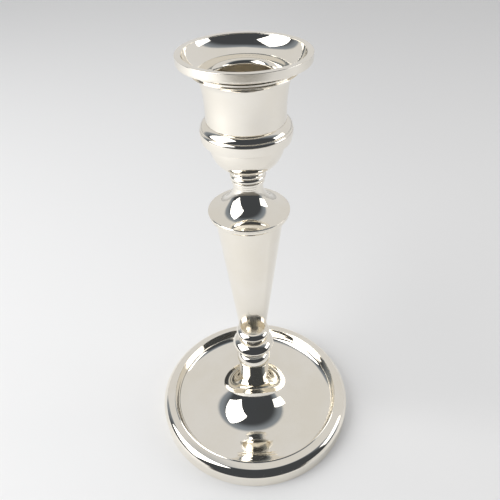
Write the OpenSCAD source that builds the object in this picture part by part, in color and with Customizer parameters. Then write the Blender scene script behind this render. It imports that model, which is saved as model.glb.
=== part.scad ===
// Silver candlestick: weighted foot, knopped stem, tapering column, urn cup
// and a lift-out nozzle. Every piece is turned about the Z axis. Millimetres.
// The origin is the centre of the circle on which the foot stands.

/* [Foot] */
// Radius of the foot where it stands on the table
foot_r = 60.4; // [60:0.1:62]
// Height of the dish floor
floor_z = 4.6; // [4.4:0.05:4.8]
// Radius of the circle where the flare meets the dish floor
flare_end_r = 35.45; // [35.3:0.05:35.6]
// Radius of the curve that sweeps from the stem's neck to the dish floor
flare_r = 26.2; // [26:0.05:26.3]
// Radius of the flat part of the dish floor
flat_r = 42; // [41.8:0.05:42.2]
// Height of the top of the dish's wall
wall_z = 12.8; // [12.6:0.05:13]
// Height of the outer edge of the border's ring
border_z = 12.3; // [12.1:0.05:12.5]

/* [Stem] */
// Radius of the stem's neck under the knop
stem_r = 8.9; // [8.6:0.1:9.2]
// Height of the stem's neck over the table
neck_top_z = 43.5; // [43:0.1:44]
// Greatest radius of the ring under the knop
knop_ring_r = 10.1; // [9.8:0.1:10.4]
// Greatest radius of the knop
knop_r = 12.15; // [11.9:0.05:12.6]

/* [Column] */
// Radius of the column's lower end
column_low_r = 7.7; // [7.6:0.05:7.9]
// Radius of the column's upper end
column_top_r = 17; // [16.5:0.1:17.5]
// Height of the tapering column
column_h = 79.4; // [60:0.1:90]
// Radius of the disc on the column's shoulder
shoulder_r = 20.1; // [20:0.1:21]
// Radius of the neck over the shoulder
neck_r = 6.9; // [6.7:0.1:7.1]

/* [Cup] */
// Outer radius of the cup's wall
cup_r = 17.7; // [17.5:0.1:18]
// Height of the cup's wall
cup_h = 30; // [30:0.5:36]
// Greatest radius of the moulding round the cup
moulding_r = 20.65; // [20.4:0.05:21]

/* [Nozzle] */
// Radius of the nozzle's rim
rim_r = 27.9; // [27.5:0.1:29]
// Height of the band round the rim
rim_h = 3.7; // [3.4:0.1:4]
// Radius of the candle bore
candle_r = 11.2; // [10.5:0.1:11.5]
// Depth of the candle bore under its rolled lip
candle_depth = 25; // [20:0.5:28]

/* [Material] */
// Thickness of the sheet silver
sheet = 0.9; // [0.8:0.05:1]
// Radius of the steel tie rod
rod_r = 3; // [2.5:0.1:3]
// Width across the flats of the rod's nuts
nut_flats = 10; // [9:0.5:11]

/* [Hidden] */
$fn = 96;

// Levels of the joints between the pieces, up from the table
knop_ring_z = neck_top_z;
knop_z = knop_ring_z + 9;
ferrule_z = knop_z + 15;
column_z = ferrule_z + 4.1;
wire_z = column_z + column_h;
shoulder_z = wire_z + 3.5;
neck_z = shoulder_z + 14;
neck_ring_z = neck_z + 3.8;
collar_z = neck_ring_z + 3.1;
bowl_z = collar_z + 2.8;
cup_z = bowl_z + 14.4;
lip_z = cup_z + cup_h;
top_z = lip_z + 7.4;

// Gap between the core pieces and what they pass through or lie in
core_gap = 0.2;
thread_gap = 0.05;
rod_hole_r = rod_r + core_gap;
washer_t = 1.6;
nut_h = 5;
plate_t = 1.2;
pad_t = 1.2;

// Colours
silver_c = "silver";
steel_c = "slategray";
filler_c = "dimgray";
baize_c = "darkgreen";

// Points of an arc in the plane of radius and height, from angle a0 to a1
function arc(cr, cz, r, a0, a1, steps = 12) =
    [for (i = [0 : steps]) let (a = a0 + (a1 - a0) * i / steps) [cr + r * cos(a), cz + r * sin(a)]];

edge_a = 27;                      // angle at which a bead's small curve meets its dome

// Bead with a small curve at its widest level and a domed top, from angle low to angle high
function bead(widest, level, edge, dome, low, high) =
    let (rise = (dome - edge) * sin(edge_a), back = (dome - edge) * cos(edge_a))
    concat(arc(widest - edge, level, edge, low, edge_a),
           arc(widest - edge - back, level - rise, dome, edge_a, high));

// Turns an outline of [radius, height] points about the Z axis
module turned(outline, colour = silver_c) {
    color(colour) rotate_extrude() polygon(outline);
}

// Turns a rectangle about the Z axis
module ring(r_in, r_out, z0, z1, colour) {
    color(colour) rotate_extrude() translate([r_in, z0]) square([r_out - r_in, z1 - z0]);
}

// Hexagon nut on the tie rod
module nut(z0) {
    color(steel_c) difference() {
        translate([0, 0, z0]) cylinder(r = nut_flats / sqrt(3), h = nut_h, $fn = 6);
        translate([0, 0, z0 - 1]) cylinder(r = rod_r + thread_gap, h = nut_h + 2);
    }
}

// ---------- Nozzle ----------

pan_r = 9;                        // inner radius of the pan's curve
pan_cr = 16.5;                    // where that curve is centred
pan_cz = top_z + 2;
rim_in_r = pan_cr + 8.85;
pan_top = pan_cz - pan_r;
socket_lip = 2.2;                 // radius of the rolled lip
socket_wall = 0.8;
pan_hole_r = candle_r + socket_lip;
bore_top = pan_top - socket_lip;
bore_floor = bore_top - candle_depth;

// Square wire soldered round the pan's edge
module nozzle_rim() {
    edge = 0.25;
    low = top_z - rim_h;
    turned([
        [rim_in_r, low + 1],
        [rim_in_r, top_z - edge],
        [rim_in_r + edge, top_z],
        [rim_r - edge, top_z],
        [rim_r, top_z - edge],
        [rim_r, low + 0.6],
        [rim_r - 0.3, low + 0.5],
        [rim_r - 0.3, low],
        [rim_in_r + 0.6, low]
    ]);
}

// Angle of the point on a circle of radius r that lies dr out from its centre
function angle_at(dr, r) = acos(dr / r);

// Spun saucer that catches the wax, with a bearing ring that rests on the cup
module nozzle_pan() {
    back_r = pan_r + sheet;
    bearing_in = 20;
    bearing_out = 21.6;
    turned(concat(
        arc(pan_cr, pan_cz, pan_r, -15, -90),
        [[pan_hole_r, pan_top], [pan_hole_r, pan_top - sheet]],
        arc(pan_cr, pan_cz, back_r, -90, -angle_at(bearing_in - pan_cr, back_r), 4),
        [[bearing_in, lip_z], [bearing_out, lip_z]],
        arc(pan_cr, pan_cz, back_r, -angle_at(bearing_out - pan_cr, back_r),
            -angle_at(rim_in_r - pan_cr, back_r)),
        [[rim_in_r, pan_cz - pan_r * sin(15)]]
    ));
}

// Tube that holds the candle, with a rolled lip
module candle_socket() {
    turned(concat(
        [[candle_r, bore_floor], [candle_r, bore_top]],
        arc(pan_hole_r, bore_top, socket_lip, 180, 90),
        [[pan_hole_r, pan_top - sheet]],
        [[candle_r + socket_wall, bore_top - 0.6], [candle_r + socket_wall, bore_floor]]
    ));
}

// Disc that closes the bottom of the socket
module socket_floor() {
    ring(0, candle_r + socket_wall, bore_floor - socket_wall, bore_floor, silver_c);
}

// ---------- Cup ----------

// Wall of the cup, flaring to the lip that carries the nozzle
module cup_wall() {
    straight = cup_h - 15.6;      // height of the cylindrical part
    sweep_r = 51;                 // gentle curve over it
    sweep_a = 13.6;
    lip_curve = 4.6;              // tight curve out to the lip
    sweep_cr = cup_r + sweep_r;
    sweep_z = cup_z + straight;
    lip_cr = sweep_cr - (sweep_r - lip_curve) * cos(sweep_a);
    lip_cz = sweep_z + (sweep_r - lip_curve) * sin(sweep_a);
    rise = lip_z - lip_cz;
    turned(concat(
        [[cup_r - sheet, cup_z], [cup_r, cup_z]],
        arc(sweep_cr, sweep_z, sweep_r, 180, 180 - sweep_a),
        arc(lip_cr, lip_cz, lip_curve, 175 - sweep_a, 104),
        [[lip_cr - 1.2, lip_z]],
        arc(lip_cr, lip_cz, lip_curve + sheet, 180 - asin(rise / (lip_curve + sheet)),
            180 - sweep_a),
        arc(sweep_cr, sweep_z, sweep_r + sheet, 180 - sweep_a, 180)
    ));
}

// Applied moulding: a domed bead over a small one and a plain band
module cup_moulding() {
    small = 1.65;
    small_z = cup_z + 4.3;
    small_top = small_z + 1.6;
    dome = 4.2;
    dome_cr = moulding_r - 4.45;
    dome_cz = cup_z + 4.9;
    band_r = moulding_r - 0.55;
    turned(concat(
        [[cup_r, cup_z], [band_r, cup_z], [moulding_r - 0.1, small_z - 2.3]],
        arc(moulding_r - small, small_z, small, 0, 75),
        [[moulding_r - 0.6, small_top]],
        arc(dome_cr, dome_cz, dome, 16, angle_at(cup_r - dome_cr, dome))
    ));
}

// Bowl of the cup, with the floor that the tie rod clamps
module cup_bowl() {
    curve = 14;
    curve_cr = cup_r - 0.6 - curve;
    curve_cz = cup_z - 1.9;
    floor_t = 1.3;
    inner = curve - sheet;
    turned(concat(
        [[rod_hole_r, bowl_z]],
        arc(curve_cr, curve_cz, curve, -asin((curve_cz - bowl_z) / curve), 0),
        [[curve_cr + curve, cup_z], [curve_cr + inner, cup_z]],
        arc(curve_cr, curve_cz, inner, 0, -asin((curve_cz - bowl_z - floor_t) / inner)),
        [[rod_hole_r, bowl_z + floor_t]]
    ));
}

bowl_floor = bowl_z + 1.3;

module cup_washer() {
    ring(rod_hole_r, 9, bowl_floor, bowl_floor + washer_t, steel_c);
}

module cup_nut() {
    nut(bowl_floor + washer_t);
}

// ---------- Neck and shoulder ----------

neck_bore = 5.6;

// Small cove under the bowl
module neck_collar() {
    cove = 1.5;
    low_r = 8;
    turned(concat(
        [[neck_bore, collar_z], [low_r, collar_z], [low_r, collar_z + 0.5]],
        arc(low_r + cove, bowl_z - 0.6, cove, 216, 180, 6),
        [[low_r + 0.2, bowl_z], [neck_bore, bowl_z]]
    ));
}

// Half-round ring about the neck
module neck_ring() {
    half = (collar_z - neck_ring_z) / 2;
    widest_r = 8.5;
    turned(concat(
        [[neck_bore, neck_ring_z]],
        arc(widest_r - half, neck_ring_z + half, half, -90, 90),
        [[neck_bore, collar_z]]
    ));
}

// Stepped fillet between the shoulder and the neck ring
module neck_fillet() {
    low_step = 7.4;
    high_step = 7.9;
    turned([
        [neck_r - sheet, neck_z],
        [neck_r, neck_z],
        [neck_r, neck_z + 0.8],
        [low_step, neck_z + 1.1],
        [low_step, neck_z + 2.3],
        [high_step, neck_z + 2.6],
        [high_step, neck_ring_z],
        [neck_r - sheet, neck_ring_z]
    ]);
}

// Trumpet that spreads from the neck to the shoulder's disc
module shoulder_trumpet() {
    lean = 9;                     // slope at the top
    flat = 80;                    // slope near the edge
    edge = shoulder_z + 0.7;
    curve = (neck_z - edge - 0.3) / (sin(flat) - sin(lean));
    curve_cr = neck_r + curve * cos(lean);
    curve_cz = neck_z + curve * sin(lean);
    in_a = 68;                    // slope at which the inner face reaches the disc's underside
    turned(concat(
        [[neck_r - sheet, neck_z], [neck_r, neck_z]],
        arc(curve_cr, curve_cz, curve, 184 + lean, 180 + flat, 16),
        [[shoulder_r - 0.2, edge + 0.1], [shoulder_r, edge], [shoulder_r, shoulder_z]],
        [[curve_cr - (curve + sheet) * cos(in_a), shoulder_z]],
        arc(curve_cr, curve_cz, curve + sheet, 180 + in_a, 184 + lean, 16)
    ));
}

// Half-round wire under the disc
module shoulder_wire() {
    curve = 3;
    turned(concat(
        [[column_top_r - sheet, wire_z], [column_top_r - 0.1, wire_z]],
        arc(column_top_r - 0.1, wire_z + 3.2, curve, -86, 0),
        [[column_top_r + 2.9, shoulder_z], [column_top_r - sheet, shoulder_z]]
    ));
}

// ---------- Column and stem ----------

// Tapering tube
module column() {
    turned([
        [column_low_r - sheet, column_z],
        [column_low_r, column_z],
        [column_top_r, wire_z],
        [column_top_r - sheet, wire_z]
    ]);
}

stem_bore = 5.5;

// Collar that carries the column
module column_ferrule() {
    low_r = 8.6;
    widest_r = 9.75;
    widest_z = ferrule_z + 1;
    turned(concat(
        [[stem_bore, ferrule_z], [low_r, ferrule_z]],
        bead(widest_r, widest_z, 1.3, 4.6, -40, 61),
        [[column_low_r, column_z], [stem_bore, column_z]]
    ));
}

// Domed ball between two short necks
module knop() {
    low_neck = 8;
    high_neck = 8.8;
    low_z = knop_z + 3.5;
    widest_z = knop_z + 6.3;
    high_z = knop_z + 10.5;
    turned(concat(
        [[stem_bore, knop_z], [low_neck, knop_z], [low_neck, low_z]],
        bead(knop_r, widest_z, 1.6, 7.5, -50, 61),
        [[high_neck, high_z], [high_neck, ferrule_z], [stem_bore, ferrule_z]]
    ));
}

// Ring that tapers up to the knop's neck
module knop_ring() {
    side = 9.5;                   // curve of the ring's side
    side_a = 20;
    side_cr = knop_ring_r - side;
    side_cz = knop_ring_z + 1.9;
    top = 4.6;                    // curve over it
    top_cr = side_cr + (side - top) * cos(side_a);
    top_cz = side_cz + (side - top) * sin(side_a);
    neck = 8;
    turned(concat(
        [[stem_bore, knop_ring_z], [stem_r, knop_ring_z]],
        arc(side_cr, side_cz, side, -10, side_a),
        arc(top_cr, top_cz, top, side_a + 4, angle_at(neck - top_cr, top)),
        [[neck, knop_z], [stem_bore, knop_z]]
    ));
}

// ---------- Foot ----------

// The foot's upper face: flare, flat floor, shallow curve, tight curve and straight wall
curve_r = 17;                     // shallow curve from the floor to the wall
curve_a = 22.5;                   // slope at which the tight curve takes over
wall_r = 5;                       // tight curve into the wall
wall_a = 78;                      // slope of the straight wall
flare_cz = floor_z + flare_r;
curve_cz = floor_z + curve_r;
wall_cr = flat_r + (curve_r - wall_r) * sin(curve_a);
wall_cz = curve_cz - (curve_r - wall_r) * cos(curve_a);
wall_foot_z = wall_cz - wall_r * cos(wall_a);
ring_in_r = wall_cr + wall_r * sin(wall_a) + (wall_z - wall_foot_z) / tan(wall_a);

// Lean of the straight line from the neck that touches the flare's curve
function flare_lean(r, neck) =
    let (rise = neck_top_z - flare_cz, across = flare_end_r - neck)
    90 - asin(r / norm([rise, across])) - atan(rise / across);

// One long concave sweep from the stem's neck to the dish floor
module foot_flare() {
    lean = flare_lean(flare_r, stem_r);
    turned(concat(
        [[stem_r - sheet, neck_top_z], [stem_r, neck_top_z]],
        arc(flare_end_r, flare_cz, flare_r, 180 + lean, 270, 24),
        arc(flare_end_r, flare_cz, flare_r + sheet, 270, 180 + lean, 24)
    ));
}

// Dish floor and the wall up to the border
module foot_dish() {
    back_r = wall_r + sheet;
    side = sheet / sin(wall_a);   // the sheet's width on a level line through the wall
    turned(concat(
        [[flare_end_r, floor_z - sheet], [flare_end_r, floor_z]],
        arc(flat_r, curve_cz, curve_r, -90, curve_a - 90),
        arc(wall_cr, wall_cz, wall_r, curve_a - 86, wall_a - 90),
        [[ring_in_r, wall_z], [ring_in_r, wall_z - side * tan(wall_a)]],
        arc(wall_cr, wall_cz, back_r, wall_a - 90, curve_a - 90),
        arc(flat_r, curve_cz, curve_r + sheet, curve_a - 93, -90)
    ));
}

border_in_r = foot_r - 2.1;
border_low = wall_z - 3;          // underside of the border

// Raised lip, flat ring, rolled shoulder and the upright edge that stands on the table
module foot_border() {
    lip = 0.3;
    lip_cr = ring_in_r + 0.32;
    cove = 1.2;                   // small cove from the lip to the ring
    cove_cz = wall_z + 1.35;
    ring_out_r = foot_r - 3.7;
    roll = 6.6;                   // curve of the shoulder
    roll_cr = foot_r - 6.45;
    roll_cz = border_z - 5.98;
    slope = 33;                   // the cone under the shoulder faces up by this angle
    cone = 1.17;                  // width of that cone
    nose = 1.4;                   // tight curve under it
    nose_cr = roll_cr + (roll - nose) * cos(slope) + cone * sin(slope);
    nose_cz = roll_cz + (roll - nose) * sin(slope) - cone * cos(slope);
    turned(concat(
        [[ring_in_r, border_low], [ring_in_r, wall_z]],
        arc(lip_cr, wall_z + 0.25, lip, 170, 50, 6),
        arc(lip_cr + 0.95, cove_cz, cove, 228, 259, 6),
        [[ring_out_r, border_z]],
        arc(roll_cr, roll_cz, roll, 62, slope, 8),
        arc(nose_cr, nose_cz, nose, slope, 0, 6),
        [[foot_r, 0.4], [foot_r - 0.1, 0]],
        [[border_in_r, 0], [border_in_r, border_low - 2], [border_in_r - 2.2, border_low]]
    ));
}

// Steel disc that closes the foot
module foot_plate() {
    ring(0, border_in_r - core_gap, pad_t, pad_t + plate_t, steel_c);
}

// Baize glued under the plate
module baize_pad() {
    ring(0, border_in_r - core_gap, 0, pad_t, baize_c);
}

// ---------- Core ----------

plate_top = pad_t + plate_t;
foot_nut_z = plate_top + 0.6;
foot_washer_z = foot_nut_z + nut_h;
foot_washer_r = 12;
load_floor = foot_washer_z + washer_t;

// Load that fills the hollow of the foot, with a pocket for the rod's nut and washer
module foot_filler() {
    back = sheet + core_gap;
    outer = border_in_r - core_gap;
    pocket = foot_washer_r + core_gap;
    neck = stem_r - back;
    lean = flare_lean(flare_r, stem_r);
    side = back / sin(wall_a);
    shelf_r = ring_in_r + side - (wall_z - border_low + core_gap) / tan(wall_a);
    turned(concat(
        [[pocket, plate_top], [outer, plate_top], [outer, border_low - 2.2]],
        [[border_in_r - 2.4, border_low - core_gap], [shelf_r, border_low - core_gap]],
        arc(wall_cr, wall_cz, wall_r + back, wall_a - 91, curve_a - 90),
        arc(flat_r, curve_cz, curve_r + back, curve_a - 93, -90),
        arc(flare_end_r, flare_cz, flare_r + back, 270, 180 + lean, 24),
        [[neck, neck_top_z - 0.5], [rod_hole_r, neck_top_z - 0.5]],
        [[rod_hole_r, load_floor], [pocket, load_floor]]
    ), filler_c);
}

// Load that fills the column about the tie rod
module column_filler() {
    low = column_z + 0.5;
    high = wire_z - 0.5;
    wall = sheet + core_gap;
    turned([
        [rod_hole_r, low],
        [column_low_r - wall, low],
        [column_top_r - wall, high],
        [rod_hole_r, high]
    ], filler_c);
}

module foot_washer() {
    ring(rod_hole_r, foot_washer_r, foot_washer_z, load_floor, steel_c);
}

module foot_nut() {
    nut(foot_nut_z);
}

// Rod that clamps the cup, the neck, the column and the stem to the foot
module tie_rod() {
    high = bowl_floor + washer_t + nut_h;
    color(steel_c) translate([0, 0, foot_nut_z]) cylinder(r = rod_r, h = high - foot_nut_z);
}

nozzle_rim();
nozzle_pan();
candle_socket();
socket_floor();
cup_wall();
cup_moulding();
cup_bowl();
cup_washer();
cup_nut();
neck_collar();
neck_ring();
neck_fillet();
shoulder_trumpet();
shoulder_wire();
column();
column_ferrule();
knop();
knop_ring();
foot_flare();
foot_dish();
foot_border();
foot_plate();
baize_pad();
foot_filler();
column_filler();
tie_rod();
foot_washer();
foot_nut();
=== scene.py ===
"""The looks of a silver candlestick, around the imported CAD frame.

Every silver piece is turned about the Z axis, so each has a function that gives its outline as
(radius, height) points in millimetres, worked out from the box of the CAD node that it stands for.
"""
import math

import bpy
import numpy as np
from mathutils import Matrix, Vector


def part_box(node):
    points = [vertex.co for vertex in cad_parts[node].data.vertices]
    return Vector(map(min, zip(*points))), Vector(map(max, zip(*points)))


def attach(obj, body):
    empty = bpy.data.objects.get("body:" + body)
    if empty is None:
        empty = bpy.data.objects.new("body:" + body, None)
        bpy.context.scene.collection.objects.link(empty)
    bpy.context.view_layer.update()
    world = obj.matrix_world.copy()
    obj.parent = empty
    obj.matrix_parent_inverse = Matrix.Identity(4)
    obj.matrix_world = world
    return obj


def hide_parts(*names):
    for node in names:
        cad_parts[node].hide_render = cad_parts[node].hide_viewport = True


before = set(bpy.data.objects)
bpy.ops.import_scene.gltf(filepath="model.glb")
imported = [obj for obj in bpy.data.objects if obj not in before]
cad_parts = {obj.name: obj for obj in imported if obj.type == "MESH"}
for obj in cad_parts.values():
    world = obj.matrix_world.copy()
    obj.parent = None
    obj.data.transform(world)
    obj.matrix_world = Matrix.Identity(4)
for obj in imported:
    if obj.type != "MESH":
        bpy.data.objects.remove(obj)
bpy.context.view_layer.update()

MM = 0.001
SIDES = 288                # points round each turned piece
EDGE = 0.22                # radius of a softened edge, mm
SHEET = 0.9                # thickness of the sheet silver, mm
CORNER = 14                # a turn sharper than this, in degrees, is a corner
ARC_STEP = 3               # degrees between the points of an arc


# ---------- Outlines ----------

def span(node):
    """Outer radius, lowest and highest level of a CAD node, in mm."""
    low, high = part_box(node)
    return high.x / MM, low.z / MM, high.z / MM


def arc(cr, cz, r, a0, a1):
    """Points of an arc from angle a0 to a1, in degrees."""
    steps = max(3, math.ceil(abs(a1 - a0) / ARC_STEP))
    angles = [math.radians(a0 + (a1 - a0) * i / steps) for i in range(steps + 1)]
    return [(cr + r * math.cos(a), cz + r * math.sin(a)) for a in angles]


def degrees_at(dr, r):
    """Angle of the point on a circle of radius r that lies dr out from its centre."""
    return math.degrees(math.acos(dr / r))


def seam(points, *hard):
    """The same points, with the ones at these places kept hard, for joints that lie flush."""
    marked = [tuple(p[:2]) for p in points]
    for i in hard:
        marked[i] += (0,)
    return marked


foot_r, _, _ = span("foot_border")
flare_end_r, _, neck_top_z = span("foot_flare")
ring_in_r, dish_low, wall_z = span("foot_dish")
floor_z = dish_low + SHEET
knop_ring_r, knop_ring_z, _ = span("knop_ring")
knop_r, knop_z, _ = span("knop")
ferrule_r, ferrule_z, column_z = span("column_ferrule")
column_r, _, wire_z = span("column")
_, _, shoulder_z = span("shoulder_wire")
shoulder_r, _, neck_z = span("shoulder_trumpet")
_, _, neck_ring_z = span("neck_fillet")
_, _, collar_z = span("neck_ring")
_, _, bowl_z = span("neck_collar")
bowl_r, _, cup_z = span("cup_bowl")
_, _, lip_z = span("cup_wall")
moulding_r, _, _ = span("cup_moulding")
rim_r, _, top_z = span("nozzle_rim")
socket_r, bore_floor, _ = span("candle_socket")

RIM_W = 2.55               # width of the square wire round the pan
RIM_H = 3.7
PAN_R = 9                  # inner radius of the pan's curve
PAN_CR = 16.5              # where that curve is centred
pan_cz = top_z + 2
pan_top = pan_cz - PAN_R
SOCKET_LIP = 2.2           # radius of the socket's rolled lip
candle_r = socket_r - SOCKET_LIP
bore_top = pan_top - SOCKET_LIP
STEM_R = 8.9               # radius of the neck under the knop
NECK_R = 6.9               # radius of the neck over the shoulder
CUP_R = 17.7               # outer radius of the cup's wall


def nozzle_rim():
    inner = rim_r - RIM_W
    low = top_z - RIM_H
    return [(inner, low + 1), (inner, top_z), (rim_r, top_z), (rim_r, low + 0.6),
            (rim_r - 0.3, low + 0.5), (rim_r - 0.3, low), (inner + 0.6, low)]


def nozzle_pan():
    edge_r = rim_r - RIM_W
    back = PAN_R + SHEET
    bearing_in, bearing_out = 20, 21.6
    return (arc(PAN_CR, pan_cz, PAN_R, -15, -90)
            + [(socket_r, pan_top, 0), (socket_r, pan_top - SHEET, 0)]
            + arc(PAN_CR, pan_cz, back, -90, -degrees_at(bearing_in - PAN_CR, back))
            + [(bearing_in, lip_z), (bearing_out, lip_z)]
            + arc(PAN_CR, pan_cz, back, -degrees_at(bearing_out - PAN_CR, back),
                  -degrees_at(edge_r - PAN_CR, back))
            + [(edge_r, pan_cz - PAN_R * math.sin(math.radians(15)), 0)])


def candle_socket():
    wall = 0.8
    return ([(candle_r, bore_floor, 0), (candle_r, bore_top, 0)]
            + arc(socket_r, bore_top, SOCKET_LIP, 177, 90)
            + [(socket_r, pan_top - SHEET, 0), (candle_r + wall, bore_top - 0.6),
               (candle_r + wall, bore_floor, 0)])


def cup_wall():
    straight, sweep, sweep_a, curve = 14.4, 51, 13.6, 4.6
    sweep_cr = CUP_R + sweep
    sweep_z = cup_z + straight
    tilt = math.radians(sweep_a)
    lip_cr = sweep_cr - (sweep - curve) * math.cos(tilt)
    lip_cz = sweep_z + (sweep - curve) * math.sin(tilt)
    inner = 180 - math.degrees(math.asin((lip_z - lip_cz) / (curve + SHEET)))
    return ([(CUP_R - SHEET, cup_z, 0), (CUP_R, cup_z, 0)]
            + arc(sweep_cr, sweep_z, sweep, 180, 180 - sweep_a)
            + arc(lip_cr, lip_cz, curve, 178 - sweep_a, 104)
            + [(lip_cr - 1.2, lip_z)]
            + arc(lip_cr, lip_cz, curve + SHEET, inner, 182 - sweep_a)
            + arc(sweep_cr, sweep_z, sweep + SHEET, 180 - sweep_a, 180))


def cup_moulding():
    small, dome = 1.65, 4.2
    small_z = cup_z + 4.3
    dome_cr = moulding_r - 4.45
    return ([(CUP_R, cup_z, 0), (moulding_r - 0.55, cup_z), (moulding_r - 0.1, small_z - 2.3)]
            + arc(moulding_r - small, small_z, small, 0, 75)
            + [(moulding_r - 0.6, small_z + 1.6)]
            + seam(arc(dome_cr, cup_z + 4.9, dome, 16, degrees_at(CUP_R - dome_cr, dome)), -1))


def cup_bowl():
    curve, floor = 14, 1.3
    cr = bowl_r - curve
    cz = cup_z - 1.9
    inner = curve - SHEET
    hole = 3.2
    return ([(hole, bowl_z)]
            + arc(cr, cz, curve, -math.degrees(math.asin((cz - bowl_z) / curve)), 0)
            + [(bowl_r, cup_z, 0), (cr + inner, cup_z, 0)]
            + arc(cr, cz, inner, 0, -math.degrees(math.asin((cz - bowl_z - floor) / inner)))
            + [(hole, bowl_z + floor)])


NECK_BORE = 5.6


def neck_collar():
    low_r, cove = 8, 1.5
    return ([(NECK_BORE, collar_z, 0), (low_r, collar_z), (low_r, collar_z + 0.5)]
            + arc(low_r + cove, bowl_z - 0.6, cove, 216, 180)
            + [(low_r + 0.2, bowl_z), (NECK_BORE, bowl_z, 0)])


def neck_ring():
    half = (collar_z - neck_ring_z) / 2
    return ([(NECK_BORE, neck_ring_z, 0)]
            + arc(8.5 - half, neck_ring_z + half, half, -90, 90)
            + [(NECK_BORE, collar_z, 0)])


def neck_fillet():
    low_step, high_step = 7.4, 7.9
    return [(NECK_R - SHEET, neck_z, 0), (NECK_R, neck_z, 0), (NECK_R, neck_z + 0.8),
            (low_step, neck_z + 1.1), (low_step, neck_z + 2.3), (high_step, neck_z + 2.6),
            (high_step, neck_ring_z), (NECK_R - SHEET, neck_ring_z, 0)]


def shoulder_trumpet():
    lean, flat, in_a = 9, 80, 68
    edge = shoulder_z + 0.7
    rise = math.sin(math.radians(flat)) - math.sin(math.radians(lean))
    curve = (neck_z - edge - 0.3) / rise
    cr = NECK_R + curve * math.cos(math.radians(lean))
    cz = neck_z + curve * math.sin(math.radians(lean))
    inner = curve + SHEET
    return ([(NECK_R - SHEET, neck_z, 0)]
            + seam(arc(cr, cz, curve, 180 + lean, 180 + flat), 0)
            + [(shoulder_r, edge), (shoulder_r, shoulder_z)]
            + [(cr - inner * math.cos(math.radians(in_a)), shoulder_z)]
            + arc(cr, cz, inner, 180 + in_a, 184 + lean))


def shoulder_wire():
    cr = column_r - 0.1
    return ([(column_r - SHEET, wire_z, 0), (cr, wire_z)]
            + arc(cr, wire_z + 3.2, 3, -86, 0)
            + [(cr + 3, shoulder_z), (column_r - SHEET, shoulder_z, 0)])


COLUMN_LOW_R = 7.7


def column():
    return [(COLUMN_LOW_R - SHEET, column_z, 0), (COLUMN_LOW_R, column_z, 0),
            (column_r, wire_z, 0.1), (column_r - SHEET, wire_z, 0)]


STEM_BORE = 5.5
BEAD_EDGE = 27             # angle at which a bead's small curve meets its dome


def bead(widest, level, edge, dome, low, high):
    """Bead with a small curve at its widest level and a domed top, from angle low to angle high."""
    tilt = math.radians(BEAD_EDGE)
    cr = widest - edge - (dome - edge) * math.cos(tilt)
    cz = level - (dome - edge) * math.sin(tilt)
    return arc(widest - edge, level, edge, low, BEAD_EDGE) + arc(cr, cz, dome, BEAD_EDGE, high)[1:]


def column_ferrule():
    return ([(STEM_BORE, ferrule_z, 0), (8.6, ferrule_z)]
            + bead(ferrule_r, ferrule_z + 1, 1.3, 4.6, -40, 61)
            + [(COLUMN_LOW_R, column_z, 0), (STEM_BORE, column_z, 0)])


def knop():
    low_neck, high_neck = 8, 8.8
    return ([(STEM_BORE, knop_z, 0), (low_neck, knop_z, 0), (low_neck, knop_z + 3.5)]
            + bead(knop_r, knop_z + 6.3, 1.6, 7.5, -50, 61)
            + [(high_neck, knop_z + 10.5), (high_neck, ferrule_z, 0), (STEM_BORE, ferrule_z, 0)])


def knop_ring():
    side, side_a, top, neck = 9.5, 20, 4.6, 8
    side_cr = knop_ring_r - side
    side_cz = knop_ring_z + 1.9
    tilt = math.radians(side_a)
    top_cr = side_cr + (side - top) * math.cos(tilt)
    top_cz = side_cz + (side - top) * math.sin(tilt)
    return ([(STEM_BORE, knop_ring_z, 0), (STEM_R, knop_ring_z, 0)]
            + arc(side_cr, side_cz, side, -10, side_a)
            + arc(top_cr, top_cz, top, side_a, degrees_at(neck - top_cr, top))[1:]
            + [(neck, knop_z, 0), (STEM_BORE, knop_z, 0)])


# The foot's upper face: flare, flat floor, shallow curve, tight curve and straight wall
FLARE = 26.2
FLAT_R = 42
CURVE = 17                 # shallow curve from the floor to the wall
CURVE_A = 22.5             # slope at which the tight curve takes over
WALL = 5                   # tight curve into the wall
WALL_A = 78                # slope of the straight wall
flare_cz = floor_z + FLARE
curve_cz = floor_z + CURVE
wall_cr = FLAT_R + (CURVE - WALL) * math.sin(math.radians(CURVE_A))
wall_cz = curve_cz - (CURVE - WALL) * math.cos(math.radians(CURVE_A))


def foot_flare():
    rise = neck_top_z - flare_cz
    across = flare_end_r - STEM_R
    lean = 90 - math.degrees(math.asin(FLARE / math.hypot(rise, across)) + math.atan2(rise, across))
    return ([(STEM_R - SHEET, neck_top_z, 0), (STEM_R, neck_top_z, 0)]
            + seam(arc(flare_end_r, flare_cz, FLARE, 180 + lean, 270), -1)
            + seam(arc(flare_end_r, flare_cz, FLARE + SHEET, 270, 180 + lean), 0))


def foot_dish():
    back = WALL + SHEET
    drop = SHEET / math.cos(math.radians(WALL_A))
    return ([(flare_end_r, floor_z - SHEET, 0), (flare_end_r, floor_z, 0)]
            + arc(FLAT_R, curve_cz, CURVE, -90, CURVE_A - 90)
            + arc(wall_cr, wall_cz, WALL, CURVE_A - 90, WALL_A - 90)[1:]
            + [(ring_in_r, wall_z, 0), (ring_in_r, wall_z - drop, 0)]
            + arc(wall_cr, wall_cz, back, WALL_A - 90, CURVE_A - 90)
            + arc(FLAT_R, curve_cz, CURVE + SHEET, CURVE_A - 90, -90)[1:])


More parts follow.
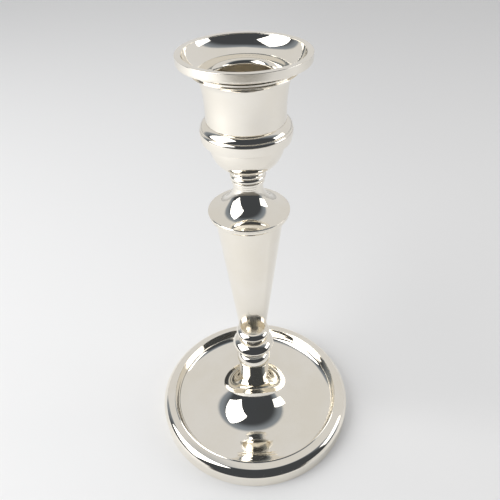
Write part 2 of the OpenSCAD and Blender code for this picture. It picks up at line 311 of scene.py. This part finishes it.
def foot_border():
    inner = foot_r - 2.1
    low = wall_z - 3
    lip_cr = ring_in_r + 0.32
    ring_out_z = wall_z - 0.5
    roll, slope, cone, nose = 6.6, 33, 1.17, 1.4
    roll_cr = foot_r - 6.45
    roll_cz = ring_out_z - 5.98
    out, up = math.cos(math.radians(slope)), math.sin(math.radians(slope))
    nose_cr = roll_cr + (roll - nose) * out + cone * up
    nose_cz = roll_cz + (roll - nose) * up - cone * out
    return ([(ring_in_r, low, 0), (ring_in_r, wall_z, 0)]
            + arc(lip_cr, wall_z + 0.25, 0.3, 170, 50)
            + arc(lip_cr + 0.95, wall_z + 1.35, 1.2, 228, 259)
            + [(foot_r - 3.7, ring_out_z)]
            + arc(roll_cr, roll_cz, roll, 62, slope)
            + arc(nose_cr, nose_cz, nose, slope, 0)
            + [(foot_r, 0.4), (foot_r - 0.1, 0), (inner, 0), (inner, low - 2), (inner - 0.3, low)])


# ---------- Turned meshes ----------

def softened(outline):
    """Rounds a closed outline's corners. Gives points, and each one's normal before and after it."""
    pts = np.array([p[:2] for p in outline], float)
    edges = np.array([p[2] if len(p) > 2 else EDGE for p in outline])
    keep = np.linalg.norm(pts - np.roll(pts, 1, 0), axis=1) > 1e-4
    pts, edges = pts[keep], edges[keep]
    area = np.sum(pts[:, 0] * np.roll(pts[:, 1], -1) - np.roll(pts[:, 0], -1) * pts[:, 1])
    if area < 0:
        pts, edges = pts[::-1], edges[::-1]
    after = np.roll(pts, -1, 0) - pts
    length = np.linalg.norm(after, axis=1)
    after = after / length[:, None]
    out_after = np.stack([after[:, 1], -after[:, 0]], 1)
    made = []
    for i, p in enumerate(pts):
        d0, d1 = after[i - 1], after[i]
        n0, n1 = out_after[i - 1], out_after[i]
        l0, l1 = length[i - 1], length[i]
        turn = math.atan2(d0[0] * d1[1] - d0[1] * d1[0], d0 @ d1)
        if abs(turn) < math.radians(CORNER):
            n = n0 * l0 + n1 * l1
            n /= np.linalg.norm(n)
            made.append((p, n, n))
            continue
        if edges[i] == 0:
            made.append((p, n0, n1))
            continue
        half = math.tan(abs(turn) / 2)
        radius = min(edges[i], 0.45 * min(l0, l1) / half)
        side = 1 if turn > 0 else -1
        centre = p - d0 * radius * half - side * n0 * radius
        steps = max(2, math.ceil(abs(turn) / math.radians(15)))
        for k in range(steps + 1):
            a = turn * k / steps
            n = np.array([n0[0] * math.cos(a) - n0[1] * math.sin(a),
                          n0[0] * math.sin(a) + n0[1] * math.cos(a)])
            made.append((centre + side * n * radius, n, n))
    return made


def turned(name, outline, body, material, bore=None):
    """A closed outline turned about Z into one smooth mesh, which stands for CAD nodes."""
    made = softened(outline)
    n = len(made)
    pts = np.array([m[0] for m in made]) * MM
    n_in = np.array([m[1] for m in made])
    n_out = np.array([m[2] for m in made])
    around = np.arange(SIDES) * 2 * math.pi / SIDES
    cos, sin = np.cos(around), np.sin(around)
    verts = np.stack([np.outer(cos, pts[:, 0]), np.outer(sin, pts[:, 0]),
                      np.tile(pts[:, 1], (SIDES, 1))], 2).reshape(-1, 3)
    j = np.repeat(np.arange(SIDES), n)
    i = np.tile(np.arange(n), SIDES)
    j1, i1 = (j + 1) % SIDES, (i + 1) % n
    faces = np.stack([j * n + i, j1 * n + i, j1 * n + i1, j * n + i1], 1)
    mesh = bpy.data.meshes.new(name)
    mesh.from_pydata(verts.tolist(), [], faces.tolist())
    mesh.update()
    mesh.set_sharp_from_angle(angle=math.radians(30))

    def normals(flat, jj):
        return np.stack([flat[:, 0] * cos[jj], flat[:, 0] * sin[jj], flat[:, 1]], 1)

    loops = np.stack([normals(n_out[i], j), normals(n_out[i], j1),
                      normals(n_in[i1], j1), normals(n_in[i1], j)], 1).reshape(-1, 3)
    mesh.normals_split_custom_set(loops.tolist())
    mesh.materials.append(material)
    if bore:
        limit_r, limit_z, inner = bore
        mesh.materials.append(inner)
        inside = (pts[:, 0] < limit_r * MM) & (pts[:, 1] < limit_z * MM)
        mesh.polygons.foreach_set("material_index", (inside[i] & inside[i1]).astype(np.int32))
    piece = bpy.data.objects.new(name, mesh)
    bpy.context.scene.collection.objects.link(piece)
    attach(piece, body)
    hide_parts(name.removeprefix("silver_"))
    return piece


# ---------- Materials ----------

def new_material(name):
    material = bpy.data.materials.new(name)
    material.use_nodes = True
    nodes = material.node_tree.nodes
    return material, nodes, material.node_tree.links, nodes["Principled BSDF"]


def node(nodes, kind, **values):
    made = nodes.new(kind)
    for key, value in values.items():
        if key in made.inputs:
            made.inputs[key].default_value = value
        else:
            setattr(made, key, value)
    return made


def silver_material(name="silver_polished", rough=0.05,
                    cool=(0.955, 0.915, 0.84), warm=(0.92, 0.872, 0.775)):
    """Polished silver with a faint warm film, hair scratches, smudges and a few tarnish specks."""
    material, nodes, links, shader = new_material(name)
    shader.inputs["Metallic"].default_value = 1
    place = node(nodes, "ShaderNodeTexCoord")

    def noise(scale, detail, roughness, stretch=None):
        made = node(nodes, "ShaderNodeTexNoise", Scale=scale, Detail=detail, Roughness=roughness)
        source = place.outputs["Object"]
        if stretch:
            turn = node(nodes, "ShaderNodeMapping")
            turn.inputs["Rotation"].default_value = stretch[0]
            turn.inputs["Scale"].default_value = stretch[1]
            links.new(source, turn.inputs["Vector"])
            source = turn.outputs["Vector"]
        links.new(source, made.inputs["Vector"])
        return made.outputs["Fac"]

    def ranged(value, start, end, low, high):
        made = node(nodes, "ShaderNodeMapRange")
        numbers = {"From Min": start, "From Max": end, "To Min": low, "To Max": high}
        for socket, number in numbers.items():
            made.inputs[socket].default_value = number
        links.new(value, made.inputs["Value"])
        return made.outputs["Result"]

    def mixed(factor, a, b):
        made = node(nodes, "ShaderNodeMix", data_type="RGBA")
        for socket, value in (("A", a), ("B", b)):
            if isinstance(value, tuple):
                made.inputs[socket].default_value = value + (1,)
            else:
                links.new(value, made.inputs[socket])
        links.new(factor, made.inputs["Factor"])
        return made.outputs["Result"]

    def added(a, b):
        made = node(nodes, "ShaderNodeMath", operation="ADD")
        links.new(a, made.inputs[0])
        links.new(b, made.inputs[1])
        return made.outputs[0]

    film = mixed(ranged(noise(38, 5, 0.6), 0.35, 0.65, 0, 1), cool, warm)
    specks = node(nodes, "ShaderNodeTexVoronoi", Scale=85)
    links.new(place.outputs["Object"], specks.inputs["Vector"])
    spot = ranged(specks.outputs["Distance"], 0.03, 0.07, 1, 0)
    rare = ranged(noise(22, 2, 0.5), 0.6, 0.64, 0, 0.55)
    speck = node(nodes, "ShaderNodeMath", operation="MULTIPLY")
    links.new(spot, speck.inputs[0])
    links.new(rare, speck.inputs[1])
    links.new(mixed(speck.outputs[0], film, (0.34, 0.27, 0.19)), shader.inputs["Base Color"])
    smudge = ranged(noise(60, 7, 0.7), 0.5, 0.72, rough * 0.7, rough * 2.2)
    hair = ranged(noise(520, 3, 0.6, ((0.4, 0.9, 0.3), (1, 1, 0.04))), 0.6, 0.72, 0, 0.05)
    links.new(added(smudge, hair), shader.inputs["Roughness"])
    grain = added(noise(900, 4, 0.7), noise(700, 2, 0.5, ((1.1, 0.2, 0.7), (1, 0.03, 1))))
    bump = node(nodes, "ShaderNodeBump", Strength=0.03, Distance=0.0002)
    links.new(grain, bump.inputs["Height"])
    links.new(bump.outputs["Normal"], shader.inputs["Normal"])
    return material


def steel_material():
    material, nodes, links, shader = new_material("steel_plain")
    shader.inputs["Metallic"].default_value = 1
    place = node(nodes, "ShaderNodeTexCoord")
    cloud = node(nodes, "ShaderNodeTexNoise", Scale=300, Detail=5, Roughness=0.6)
    links.new(place.outputs["Object"], cloud.inputs["Vector"])
    tint = node(nodes, "ShaderNodeMix", data_type="RGBA")
    tint.inputs["A"].default_value = (0.36, 0.36, 0.37, 1)
    tint.inputs["B"].default_value = (0.56, 0.56, 0.57, 1)
    links.new(cloud.outputs["Fac"], tint.inputs["Factor"])
    links.new(tint.outputs["Result"], shader.inputs["Base Color"])
    dull = node(nodes, "ShaderNodeMapRange")
    dull.inputs["To Min"].default_value = 0.25
    dull.inputs["To Max"].default_value = 0.5
    links.new(cloud.outputs["Fac"], dull.inputs["Value"])
    links.new(dull.outputs["Result"], shader.inputs["Roughness"])
    bump = node(nodes, "ShaderNodeBump", Strength=0.2, Distance=0.0002)
    links.new(cloud.outputs["Fac"], bump.inputs["Height"])
    links.new(bump.outputs["Normal"], shader.inputs["Normal"])
    return material


def load_material():
    material, nodes, links, shader = new_material("plaster_load")
    place = node(nodes, "ShaderNodeTexCoord")
    cloud = node(nodes, "ShaderNodeTexNoise", Scale=220, Detail=8, Roughness=0.7)
    links.new(place.outputs["Object"], cloud.inputs["Vector"])
    tint = node(nodes, "ShaderNodeMix", data_type="RGBA")
    tint.inputs["A"].default_value = (0.16, 0.14, 0.12, 1)
    tint.inputs["B"].default_value = (0.36, 0.33, 0.3, 1)
    links.new(cloud.outputs["Fac"], tint.inputs["Factor"])
    links.new(tint.outputs["Result"], shader.inputs["Base Color"])
    shader.inputs["Roughness"].default_value = 0.9
    bump = node(nodes, "ShaderNodeBump", Strength=0.5, Distance=0.0006)
    links.new(cloud.outputs["Fac"], bump.inputs["Height"])
    links.new(bump.outputs["Normal"], shader.inputs["Normal"])
    return material


def baize_material():
    material, nodes, links, shader = new_material("green_baize")
    place = node(nodes, "ShaderNodeTexCoord")
    fibres = node(nodes, "ShaderNodeTexNoise", Scale=1800, Detail=6, Roughness=0.8)
    links.new(place.outputs["Object"], fibres.inputs["Vector"])
    tint = node(nodes, "ShaderNodeMix", data_type="RGBA")
    tint.inputs["A"].default_value = (0.012, 0.05, 0.022, 1)
    tint.inputs["B"].default_value = (0.03, 0.12, 0.055, 1)
    links.new(fibres.outputs["Fac"], tint.inputs["Factor"])
    links.new(tint.outputs["Result"], shader.inputs["Base Color"])
    shader.inputs["Roughness"].default_value = 0.95
    shader.inputs["Sheen Weight"].default_value = 0.4
    bump = node(nodes, "ShaderNodeBump", Strength=0.6, Distance=0.0003)
    links.new(fibres.outputs["Fac"], bump.inputs["Height"])
    links.new(bump.outputs["Normal"], shader.inputs["Normal"])
    return material


def floor_material():
    """Plain pale floor with painted shade: a little darker to the right, and painted dim beyond the
    camera for every ray but a camera ray, so the silver mirrors it dim there.
    """
    material, nodes, links, shader = new_material("pale_floor")
    place = node(nodes, "ShaderNodeTexCoord")
    split = node(nodes, "ShaderNodeSeparateXYZ")
    links.new(place.outputs["Object"], split.inputs["Vector"])
    mirrored = node(nodes, "ShaderNodeMath", operation="SUBTRACT")
    mirrored.inputs[0].default_value = 1
    links.new(node(nodes, "ShaderNodeLightPath").outputs["Is Camera Ray"], mirrored.inputs[1])
    tone = (0.87, 0.868, 0.865, 1)
    # painted shade: the floor's colour darkens a little towards +X, standing in for the left window's
    # light falling off
    right = ("X", -0.15, 0.25, (0.83, 0.825, 0.82, 1))
    # painted shade in reflections: beyond the camera on -Y the floor turns dark for every ray but a
    # camera ray, so the silver mirrors a dim floor there
    beyond = ("Y", -0.45, -0.8, (0.3, 0.28, 0.25, 1))
    for axis, start, end, far in (right, beyond):
        reach = node(nodes, "ShaderNodeMapRange", interpolation_type="SMOOTHSTEP")
        reach.inputs["From Min"].default_value = start
        reach.inputs["From Max"].default_value = end
        links.new(split.outputs[axis], reach.inputs["Value"])
        share = reach.outputs["Result"]
        if axis == "Y":
            dim = node(nodes, "ShaderNodeMath", operation="MULTIPLY")
            links.new(share, dim.inputs[0])
            links.new(mirrored.outputs[0], dim.inputs[1])
            share = dim.outputs[0]
        mixed = node(nodes, "ShaderNodeMix", data_type="RGBA")
        if isinstance(tone, tuple):
            mixed.inputs["A"].default_value = tone
        else:
            links.new(tone, mixed.inputs["A"])
        mixed.inputs["B"].default_value = far
        links.new(share, mixed.inputs["Factor"])
        tone = mixed.outputs["Result"]
    links.new(tone, shader.inputs["Base Color"])
    shader.inputs["Roughness"].default_value = 0.6
    shader.inputs["Specular IOR Level"].default_value = 0.2
    return material


silver = silver_material()
satin = silver_material("silver_satin", 0.42, (0.95, 0.9, 0.8), (0.9, 0.83, 0.7))
TURNED = {
    "candlestick": [cup_wall, cup_moulding, cup_bowl, neck_collar, neck_ring, neck_fillet,
                    shoulder_trumpet, shoulder_wire, column, column_ferrule, knop, knop_ring,
                    foot_flare, foot_dish, foot_border],
    "nozzle": [nozzle_rim, nozzle_pan, candle_socket],
}
for body, outlines in TURNED.items():
    for outline in outlines:
        bore = (candle_r + 0.01, bore_top + 0.4, satin) if outline is candle_socket else None
        turned("silver_" + outline.__name__, outline(), body, silver, bore)

CARRIED = {
    "silver": (satin, ["socket_floor"]),
    "steel": (steel_material(), ["cup_washer", "cup_nut", "foot_plate", "tie_rod",
                                 "foot_washer", "foot_nut"]),
    "load": (load_material(), ["foot_filler", "column_filler"]),
    "baize": (baize_material(), ["baize_pad"]),
}
for material, names in CARRIED.values():
    for name in names:
        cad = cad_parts[name].data
        cad.materials.clear()
        cad.materials.append(material)


# ---------- Studio ----------

def studio_floor():
    size = 6
    mesh = bpy.data.meshes.new("floor")
    mesh.from_pydata([(-size, -size, 0), (size, -size, 0), (size, size, 0), (-size, size, 0)], [],
                     [(0, 1, 2, 3)])
    mesh.materials.append(floor_material())
    floor = bpy.data.objects.new("floor", mesh)
    bpy.context.scene.collection.objects.link(floor)


def direction(azimuth, elevation):
    """Unit vector for an azimuth in degrees, from the camera's side towards +X, and an elevation."""
    turn, lift = math.radians(azimuth), math.radians(elevation)
    return Vector((math.sin(turn) * math.cos(lift), -math.cos(turn) * math.cos(lift), math.sin(lift)))


def window(name, azimuth, elevation, roll, width, height, watts):
    """Soft rectangular lamp that faces the candlestick, out of the camera's sight."""
    target = Vector((0, 0, 0.1))
    back = direction(azimuth, elevation)
    lamp = bpy.data.lights.new(name, "AREA")
    lamp.shape = "RECTANGLE"
    lamp.size = width
    lamp.size_y = height
    lamp.energy = watts
    made = bpy.data.objects.new(name, lamp)
    made.matrix_world = (Matrix.Translation(target + 1.2 * back)
                         @ back.to_track_quat("Z", "Y").to_matrix().to_4x4()
                         @ Matrix.Rotation(math.radians(roll), 4, "Z"))
    made.visible_camera = False
    bpy.context.scene.collection.objects.link(made)


def overhead(watts_per_m2):
    """Wide soft light from above that fills the floor and isn't mirrored in the silver."""
    lamp = bpy.data.lights.new("overhead", "SUN")
    lamp.energy = watts_per_m2
    lamp.angle = math.radians(120)
    made = bpy.data.objects.new("overhead", lamp)
    made.visible_glossy = False
    bpy.context.scene.collection.objects.link(made)


def room():
    """Pale room behind and overhead, with a dim one on the camera's side."""
    world = bpy.data.worlds.new("room")
    bpy.context.scene.world = world
    world.use_nodes = True
    nodes, links = world.node_tree.nodes, world.node_tree.links
    background = nodes["Background"]
    place = node(nodes, "ShaderNodeTexCoord")
    split = node(nodes, "ShaderNodeSeparateXYZ")
    links.new(place.outputs["Generated"], split.inputs["Vector"])

    def math_node(operation, a, b):
        made = node(nodes, "ShaderNodeMath", operation=operation)
        for socket, value in zip(made.inputs, (a, b)):
            if isinstance(value, (int, float)):
                socket.default_value = value
            else:
                links.new(value, socket)
        return made.outputs[0]

    x, y = split.outputs["X"], split.outputs["Y"]
    squares = math_node("ADD", math_node("MULTIPLY", x, x), math_node("MULTIPLY", y, y))
    level = math_node("SQRT", squares, 0)
    behind = math_node("ADD", y, math_node("MULTIPLY", x, 0.25))
    reach = math_node("SUBTRACT", behind, math_node("MULTIPLY", level, 0.35))

    def shade(near, far, start, end):
        """Mixes two colours as the direction turns from behind the candlestick to the camera's side."""
        dim = node(nodes, "ShaderNodeMapRange", interpolation_type="SMOOTHSTEP")
        dim.inputs["From Min"].default_value = start
        dim.inputs["From Max"].default_value = end
        links.new(reach, dim.inputs["Value"])
        mixed = node(nodes, "ShaderNodeMix", data_type="RGBA")
        for socket, value in (("A", near), ("B", far)):
            if isinstance(value, tuple):
                mixed.inputs[socket].default_value = value
            else:
                links.new(value, mixed.inputs[socket])
        links.new(dim.outputs["Result"], mixed.inputs["Factor"])
        return mixed.outputs["Result"]

    dusk = shade((0.24, 0.27, 0.31, 1), (0.055, 0.06, 0.068, 1), -0.1, -0.5)
    wall = shade((0.69, 0.685, 0.68, 1), dusk, 0.02, -0.12)
    seen = node(nodes, "ShaderNodeLightPath")
    shown = node(nodes, "ShaderNodeMix", data_type="RGBA")
    shown.inputs["B"].default_value = (0.80, 0.80, 0.82, 1)
    links.new(seen.outputs["Is Camera Ray"], shown.inputs["Factor"])
    links.new(wall, shown.inputs["A"])
    links.new(shown.outputs["Result"], background.inputs["Color"])


def camera():
    """A phone's camera, near and above, a little rolled."""
    pitch, roll, yaw = math.radians(38.19), math.radians(-1.915), math.radians(-0.085)
    forward = Vector((math.sin(yaw) * math.cos(pitch), math.cos(yaw) * math.cos(pitch),
                      -math.sin(pitch)))
    right = Vector((math.cos(yaw), -math.sin(yaw), 0))
    up = right.cross(forward)
    x_axis = math.cos(roll) * right + math.sin(roll) * up
    y_axis = math.cos(roll) * up - math.sin(roll) * right
    data = bpy.data.cameras.new("camera")
    data.lens = 35.99
    data.sensor_width = 36
    data.clip_start = 0.01
    made = bpy.data.objects.new("camera", data)
    turn = Matrix((x_axis, y_axis, -forward)).transposed().to_4x4()
    made.matrix_world = Matrix.Translation((0.000114, -0.20514, 0.29037)) @ turn
    bpy.context.scene.collection.objects.link(made)
    bpy.context.scene.camera = made


studio_floor()
window("window_left", -72, 36, -17, 0.92, 1.19, 11)
window("window_right", 86, 21, 0, 0.64, 0.46, 1.7)
overhead(0.7)
room()
camera()
bpy.context.scene.view_settings.view_transform = "Standard"
